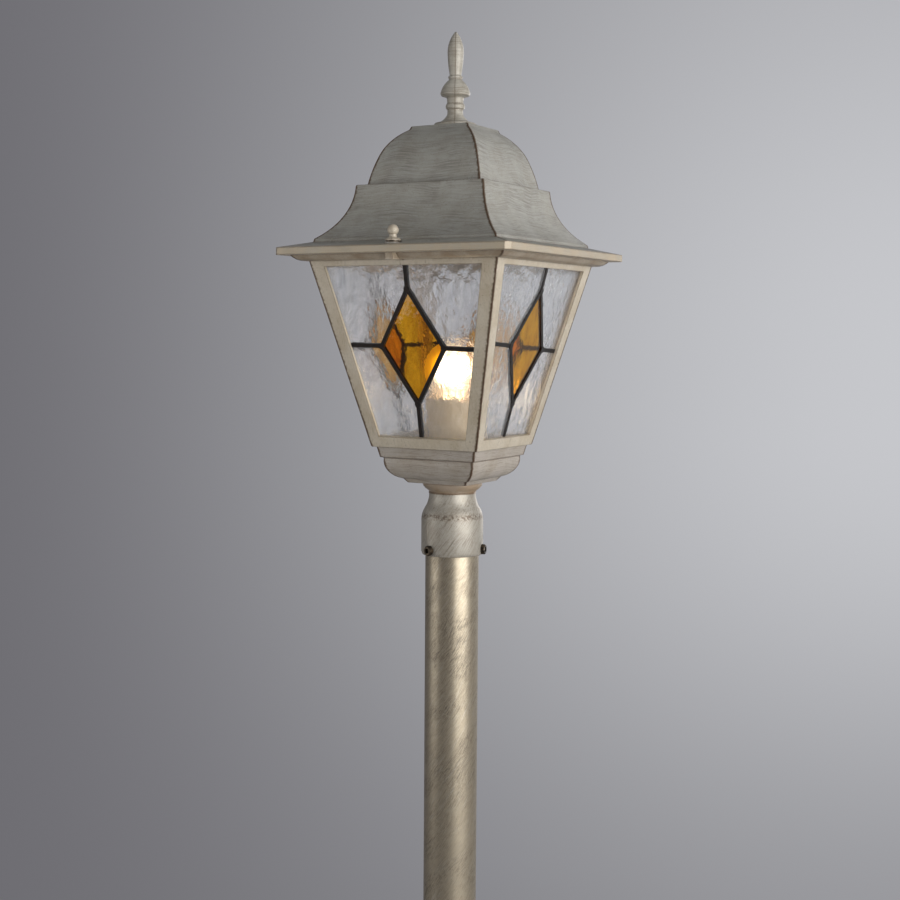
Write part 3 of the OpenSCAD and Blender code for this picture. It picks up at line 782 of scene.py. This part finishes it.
@dataclass
class RippledPanes:
    """Clear panes whose two faces ripple as rolled glass does.

    Attributes:
        rake: degrees that a side of the cage leans out.
        grid: spacing of the mesh on a face, in millimetres.
        depth: depth of the ripples, in millimetres.
        wave: length of the broad waves across and up the slope, in millimetres.
        dimple: length of the small ones.
        seeds: what tells apart the sides, the two faces of a pane, and small waves from broad ones.
    """

    rake: float = 13.64
    grid: float = 1.7
    depth: float = 0.5
    wave: tuple[float, float] = (6.0, 7.5)
    dimple: tuple[float, float] = (2.9, 3.5)
    gains: tuple[float, float] = (0.62, 0.3)
    seeds: tuple[float, float, float] = (3.1, 1.4, 7.3)
    cut_mm: float = 0.01
    skin_mm: float = 0.05

    def height(self, u: float, v: float, seed: float) -> float:
        """How deep a face is, from 0 to 1, at millimetres u across and v up the slope."""
        broad = noise.noise(Vector((u / self.wave[0], v / self.wave[1], seed)))
        small = noise.noise(Vector((u / self.dimple[0], v / self.dimple[1], seed + self.seeds[2])))
        return min(max(0.5 + self.gains[0] * broad + self.gains[1] * small, 0.0), 1.0)

    def axes(self, side: int) -> tuple[Vector, Vector, Vector]:
        """Unit vectors across a side, up its slope and out of it."""
        turn, lean = math.radians(90 * side), math.radians(self.rake)
        across = Vector((math.cos(turn), math.sin(turn), 0))
        level, drop = math.cos(lean), math.sin(lean)
        outward = Vector((math.sin(turn) * level, -math.cos(turn) * level, -drop))
        return across, outward.cross(across), outward

    def build(self, name: str, side: int, material: Material) -> Thing:
        """Makes the rippled pane that stands for a plain one.

        Args:
            name: the plain pane's node.
            side: 0 for the front, then to the right and round.
            material: its glass.

        Returns:
            The new pane.
        """
        across, up, outward = self.axes(side)
        bm = bmesh.new()
        bm.from_mesh(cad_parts[name].data)
        bmesh.ops.remove_doubles(bm, verts=bm.verts, dist=WELD_MM * MM)
        for axis in (across, up):
            reach = [vert.co.dot(axis) for vert in bm.verts]
            cuts = int((max(reach) - min(reach)) / (self.grid * MM))
            for i in range(1, cuts + 1):
                co = axis * (min(reach) + i * self.grid * MM)
                geom = [*bm.verts, *bm.edges, *bm.faces]
                bmesh.ops.bisect_plane(bm, geom=geom, dist=self.cut_mm * MM, plane_co=co, plane_no=axis)
        level = [vert.co.dot(outward) for vert in bm.verts]
        face, back = max(level) - self.skin_mm * MM, min(level) + self.skin_mm * MM
        side_seed, back_seed = self.seeds[0] * side, self.seeds[0] * side + self.seeds[1]
        for vert in bm.verts:
            u, v = vert.co.dot(across) / MM, vert.co.dot(up) / MM
            if vert.co.dot(outward) > face:
                vert.co -= outward * self.depth * MM * self.height(u, v, side_seed)
            elif vert.co.dot(outward) < back:
                vert.co += outward * self.depth * MM * self.height(u, v, back_seed)
        mesh = bpy.data.meshes.new(f"{name}_rippled")
        bm.to_mesh(mesh)
        bm.free()
        mesh.materials.append(material)
        pane = bpy.data.objects.new(f"{name}_rippled", mesh)
        link(pane)
        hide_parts(name)
        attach(pane, "stand")
        return pane


@dataclass
class Roof:
    """The roof casting with its finial and the two ball nuts.

    Attributes:
        eave_z: height of the eave's underside, in millimetres.
        hips: heights above it between which the hips run.
        rim: heights above it between which the eave's rim is paler.
        seam: degrees from the front to the finial's parting line.
        cast_edge, turned_edge, nut_edge: radii of the edges.
    """

    eave_z: float = 1027.0
    hips: tuple[float, float] = (6.0, 99.5)
    rim: tuple[float, float] = (-1.0, 6.2)
    seam: float = 27.0
    cast_edge: float = 0.35
    turned_edge: float = 0.15
    nut_edge: float = 0.1

    def build(self, shop: Workshop) -> None:
        """Dresses the roof, the finial and the nuts."""
        foot, head = (self.eave_z + h for h in self.hips)
        low, high = (self.eave_z + h for h in self.rim)
        roof = PatinaPaint(
            "brushed_roof", base=srgb(173, 171, 163), worn=srgb(156, 151, 139), stroke=srgb(92, 86, 76),
            marks=0.5, cover=0.8, hips=(foot, head), zones=(Zone(low, high, srgb(186, 170, 145), 0.6),),
        )
        finial = PatinaPaint(
            "brushed_finial", base=srgb(192, 187, 175), worn=srgb(150, 141, 124), marks=0.6, cover=0.6,
            seam=self.seam,
        )
        shop.dress(["roof"], roof.build(shop.fx), self.cast_edge)
        shop.dress(["finial"], finial.build(shop.fx), self.turned_edge)
        shop.dress(["finial_stud", "finial_nut"], shop.zinc)
        shop.dress(["front_ball_nut", "back_ball_nut"], shop.turned, self.nut_edge)
        shop.dress(["front_washer", "back_washer"], shop.bronze, self.nut_edge)


@dataclass
class Cage:
    """The lantern frame with its screws, clips and studs.

    Attributes:
        foot_z: height of the frame's foot, in millimetres.
        eave_z: height of the eave's underside.
        cornice: heights from the eave down between which the cornice is browner: a painted shadow under the
            eave's overhang.
        edge: radius of its edges.
    """

    foot_z: float = 882.0
    eave_z: float = 1027.0
    cornice: tuple[float, float] = (-4.2, -0.4)
    edge: float = 0.35

    def build(self, shop: Workshop) -> None:
        """Dresses the frame and what holds it."""
        low, high = (self.eave_z + h for h in self.cornice)
        paint = PatinaPaint(
            "brushed_cage", strokes=Strokes.UPRIGHT, marks=0.5, cover=0.45,
            # painted shadow: a brown band on the cornice just under the eave's overhang
            hips=(self.foot_z - 1, self.eave_z), zones=(Zone(low, high, srgb(134, 112, 88), 0.4),),
        )
        shop.dress(["lantern_frame"], paint.build(shop.fx), self.edge)
        shop.dress(["frame_screws", "pane_clips"], shop.zinc)
        shop.dress(["roof_studs"], shop.brass)


@dataclass
class Glazing:
    """The leaded glass of the four sides, from the front to the right and round."""

    sides: tuple[str, ...] = ("front", "right", "back", "left")
    clear: tuple[str, ...] = ("upper_left", "upper_right", "lower_left", "lower_right")
    came_edge: float = 0.2
    panes: RippledPanes = field(default_factory=RippledPanes)

    def build(self, shop: Workshop) -> None:
        """Dresses the cames and the amber, and rolls the clear panes."""
        lead = PlainMetal(
            "blackened_lead", (0.012, 0.010, 0.009), (0.028, 0.02, 0.015),
            metallic=0.6, rough=0.38, bump_mm=0.12, grain=0.8,
        )
        clear = StainedGlass("hammered_clear", (0.97, 0.975, 0.98), (0.9, 0.92, 0.96))
        amber = StainedGlass(
            "streaky_amber", (1.0, 0.5, 0.012), (0.7, 0.29, 0.004),
            streaks=0.75, rough=0.03, clear=1.0, bump_mm=0.12, grain=0.05,
        )
        black, bright, gold = lead.build(shop.fx), clear.build(shop.fx), amber.build(shop.fx)
        for i, side in enumerate(self.sides):
            shop.dress([f"{side}_cames"], black, self.came_edge)
            shop.dress([f"{side}_amber"], gold)
            for part in self.clear:
                pane = self.panes.build(f"{side}_clear_{part}", i, bright)
                shop.shade(pane)
                log.info("rolled %s", pane.name)


@dataclass
class Lamp:
    """The lamp holder on its bracket, with its bulb."""

    edge: float = 0.3

    def build(self, shop: Workshop) -> None:
        """Dresses the holder and the bulb."""
        shop.dress(["lamp_holder"], Porcelain().build(shop.fx), self.edge)
        shop.dress(["screw_shell", "centre_contact"], shop.brass)
        shop.dress(["holder_bracket", "holder_screws"], shop.zinc)
        shop.dress(["bulb"], LitBulb().build(shop.fx))


@dataclass
class Bowl:
    """The bowl under the frame, with the nipple through it and the earth screw in it.

    Attributes:
        head_z: height of its head, in millimetres.
        square: how far below its head the square part ends.
        dish: how far below its head the round dish starts and ends.
        edge: radius of its edges.
    """

    head_z: float = 882.0
    square: float = 29.1
    dish: tuple[float, float] = (29.4, 38.5)
    edge: float = 0.35

    def build(self, shop: Workshop) -> None:
        """Dresses the bowl and what is in it."""
        high, low = (self.head_z - drop for drop in self.dish)
        paint = PatinaPaint(
            # painted shade: the bowl's base and worn colours are set darker than the other castings' paint,
            # for a casting that faces down
            "brushed_bowl", base=srgb(178, 169, 158), worn=srgb(158, 146, 128), marks=0.5, cover=0.6,
            # painted shade: the bowl's inner and upward faces are dark where the lamp holder shades them
            # from the bulb
            hips=(self.head_z - self.square, self.head_z), inner=srgb(74, 66, 56),
            zones=(Zone(low, high, srgb(150, 122, 88), 0.45),),
        )
        shop.dress(["bowl"], paint.build(shop.fx), self.edge)
        shop.dress(["nipple", "nipple_nuts"], shop.zinc)
        shop.dress(["earth_screw"], shop.brass)


@dataclass
class Stem:
    """The collar, the post and the foot, with their set screws.

    Attributes:
        band_z: height of the ring of dabs on the collar, in millimetres.
        collar_edge, foot_edge, screw_edge: radii of the edges.
    """

    band_z: float = 826.5
    collar_edge: float = 0.3
    foot_edge: float = 0.4
    screw_edge: float = 0.1

    def build(self, shop: Workshop) -> None:
        """Dresses the collar, the post and the foot."""
        paint = PatinaPaint(
            "brushed_collar", strokes=Strokes.HELICAL, base=srgb(178, 172, 160), worn=srgb(155, 145, 130),
            marks=0.7, cover=0.6, metal=0.35, band=self.band_z,
        )
        shop.dress(["collar"], paint.build(shop.fx), self.collar_edge)
        shop.dress(["collar_set_screws", "foot_set_screws"], shop.bronze, self.screw_edge)
        shop.dress(["post"], GoldPaint().build(shop.fx))
        shop.dress(["foot"], shop.turned, self.foot_edge)


@dataclass
class PhotoCamera:
    """The camera that took the photograph, solved from the straight edges of the eave and the cage.

    Attributes:
        azimuth: degrees round the post, from the front towards the right.
        distance: metres from the post's axis.
        height: metres above the ground.
        pitch: degrees that it looks down.
        yaw: degrees that it looks to the left.
        roll: degrees that the picture is turned clockwise.
        lens: millimetres.
        sensor: width of the sensor in millimetres.
    """

    azimuth: float = 29.56
    distance: float = 1.146
    height: float = 0.969
    pitch: float = 4.56
    yaw: float = 0.11
    roll: float = 0.41
    lens: float = 58.52
    sensor: float = 36.0

    def directions(self) -> tuple[Vector, Vector]:
        """Level directions from the post to the camera, and to the camera's right."""
        a = math.radians(self.azimuth)
        return Vector((math.sin(a), -math.cos(a), 0)), Vector((math.cos(a), math.sin(a), 0))

    def place(self) -> Vector:
        """Where the camera is."""
        return self.directions()[0] * self.distance + Vector((0, 0, self.height))

    def build(self) -> None:
        """Makes the camera and sets it as the scene's."""
        p, y, r = (math.radians(v) for v in (self.pitch, self.yaw, self.roll))
        out, right = self.directions()
        up = Vector((0, 0, 1))
        right, ahead = right * math.cos(y) - out * math.sin(y), -out * math.cos(y) - right * math.sin(y)
        ahead, up = ahead * math.cos(p) - up * math.sin(p), up * math.cos(p) + ahead * math.sin(p)
        right, up = right * math.cos(r) + up * math.sin(r), up * math.cos(r) - right * math.sin(r)
        data = bpy.data.cameras.new("photo_camera")
        data.lens = self.lens
        data.sensor_width = self.sensor
        camera = bpy.data.objects.new("photo_camera", data)
        axes = Matrix((right, up, -ahead)).transposed()
        camera.matrix_world = Matrix.Translation(self.place()) @ axes.to_4x4()
        link(camera)
        bpy.context.scene.camera = camera
        log.info("built %s", camera.name)


@dataclass
class Studio:
    """A pale floor, a pale backdrop all round, and soft lamps at the height of the lantern.

    Attributes:
        camera: the camera that the backdrop's shades and the lamps are set out from.
        floor_r: radii of the floor's rings, in metres.
        wall_r: radius of the backdrop, in metres.
        bend_h: the share of the backdrop's height in which the floor curves up.
        low, high: the backdrop's colours on the dark and the light side.
        nearest: the least depth that the shades are measured at, in metres.
        sideways: the slopes to the camera's right between which the backdrop brightens.
        down: the slopes down between which it darkens, and by how much.
        up: those upwards, likewise.
        shadow: radii in metres between which the floor stops showing shadows.
        aim_z: height in metres that the lamps face.
    """

    camera: PhotoCamera
    floor_r: tuple[float, ...] = (0.001, 0.4, 1.2, 3.2)
    wall_r: float = 7.0
    wall_h: float = 9.0
    bend_h: float = 0.3
    bend_steps: int = 12
    steps: int = 96
    low: Colour = srgb(109, 108, 113)
    high: Colour = srgb(199, 200, 204)
    nearest: float = 2.2
    sideways: Step = Step(-0.4, 0.34)
    down: tuple[Step, float] = (Step(0.05, 0.45), 0.6)
    up: tuple[Step, float] = (Step(0.0, 0.35), 0.3)
    contrast: float = 1.08
    floor: Colour = srgb(176, 176, 178)
    floor_rough: float = 0.9
    shadow: Step = Step(0.35, 1.5)
    aim_z: float = 0.93
    lamps: tuple[SoftBox, ...] = (
        SoftBox("key_box", 44, 1.05, 1.7, (1.7, 1.5), 35.0),
        SoftBox("side_box", -78, 0.95, 1.8, (1.2, 1.4), 7.5),
        SoftBox("back_box", 150, 1.2, 2.2, (0.9, 1.2), 9.0),
    )
    sky: Colour = (0.9, 0.92, 0.95)
    ambient: float = 0.17

    def hang(self, box: SoftBox) -> None:
        """Adds a soft box that faces the lantern."""
        data = bpy.data.lights.new(box.name, "AREA")
        data.shape = "RECTANGLE"
        data.size, data.size_y = box.size
        data.energy = box.power
        lamp = bpy.data.objects.new(box.name, data)
        a = math.radians(self.camera.azimuth + box.azimuth)
        lamp.location = (math.sin(a) * box.distance, -math.cos(a) * box.distance, box.height)
        aim = Vector((0, 0, self.aim_z)) - lamp.location
        lamp.rotation_euler = aim.to_track_quat("-Z", "Y").to_euler()
        lamp.visible_camera = lamp.visible_transmission = False
        link(lamp)
        log.info("hung %s", lamp.name)

    def shades(self, g: Graph) -> Socket:
        """The backdrop's colour: dark on the photograph's left, light on its right, darker at the foot."""
        out, right = self.camera.directions()
        offset = g.vector("SUBTRACT", g.position(), tuple(self.camera.place()))
        far = g.either(g.dot(offset, tuple(-out)), self.nearest)
        sideways = g.smooth(g.math("DIVIDE", g.dot(offset, tuple(right)), far), *self.sideways)
        rise = g.math("DIVIDE", g.height(offset), far)
        down = g.times(g.smooth(g.times(rise, -1.0), *self.down[0]), self.down[1])
        up = g.times(g.smooth(rise, *self.up[0]), self.up[1])
        level = g.less(g.less(1.0, down), up)
        return g.mix(g.math("POWER", g.times(sideways, level), self.contrast), self.low, self.high)

    def stage_paint(self, name: str, shadowed: bool) -> Material:
        """A stage material that shows the backdrop's colour to the camera, to gloss and through glass.

        Args:
            name: the material's name.
            shadowed: whether the middle of it takes light and shadow as a plain surface.

        Returns:
            The material.
        """
        material, g, shader, output = new_material(name)
        shader.inputs["Base Color"].default_value = rgba(self.floor)
        shader.inputs["Roughness"].default_value = self.floor_rough
        shown = g.add("ShaderNodeEmission", {"Color": self.shades(g)}).outputs[0]
        path = g.add("ShaderNodeLightPath").outputs
        seen = g.either(g.either(path["Is Camera Ray"], path["Is Glossy Ray"]), path["Is Transmission Ray"])
        if shadowed:
            radius = g.add("ShaderNodeVectorMath", {0: g.position()}, operation="LENGTH").outputs["Value"]
            seen = g.times(seen, g.smooth(radius, *self.shadow))
        both = g.add("ShaderNodeMixShader", {0: seen, 1: shader.outputs[0], 2: shown})
        g.feed(output.inputs["Surface"], both.outputs[0])
        return material

    def lathe(self, name: str, profile: Sequence[tuple[float, float]], material: Material) -> Thing:
        """A surface of revolution from radii and heights in metres."""
        n = self.steps
        turns = [2 * math.pi * i / n for i in range(n)]
        points = [(r * math.cos(t), r * math.sin(t), z) for r, z in profile for t in turns]
        faces = [
            (j * n + i, j * n + (i + 1) % n, (j + 1) * n + (i + 1) % n, (j + 1) * n + i)
            for j in range(len(profile) - 1)
            for i in range(n)
        ]
        mesh = bpy.data.meshes.new(name)
        mesh.from_pydata(points, [], faces)
        mesh.materials.append(material)
        mesh.shade_smooth()
        obj = bpy.data.objects.new(name, mesh)
        link(obj)
        log.info("turned %s", name)
        return obj

    def build(self) -> None:
        """Makes the floor, the backdrop, the lamps and the world."""
        self.lathe("floor", [(r, 0) for r in self.floor_r], self.stage_paint("pale_floor", True))
        edge = self.floor_r[-1]
        turns = [math.pi / 2 * i / self.bend_steps for i in range(self.bend_steps + 1)]
        bend = [
            (edge + (self.wall_r - edge) * math.sin(t), self.wall_h * self.bend_h * (1 - math.cos(t)))
            for t in turns
        ]
        head = [(self.wall_r, self.wall_h), (0.01, self.wall_h)]
        wall = self.lathe("backdrop", [*bend, *head], self.stage_paint("pale_wall", False))
        wall.visible_diffuse = False
        wall.visible_shadow = False
        for box in self.lamps:
            self.hang(box)
        world = bpy.data.worlds.new("studio_world")
        world.use_nodes = True
        background = world.node_tree.nodes["Background"]
        background.inputs["Color"].default_value = rgba(self.sky)
        background.inputs["Strength"].default_value = self.ambient
        bpy.context.scene.world = world


def main() -> None:
    """Builds the camera, the studio and the light, in that order."""
    logging.basicConfig(level=logging.INFO, format="%(name)s: %(message)s")
    camera = PhotoCamera()
    camera.build()
    Studio(camera).build()
    shop = Workshop()
    for assembly in (Roof(), Cage(), Glazing(), Lamp(), Bowl(), Stem()):
        assembly.build(shop)
    bpy.context.scene.view_settings.view_transform = "Standard"


if __name__ == "__main__":
    main()
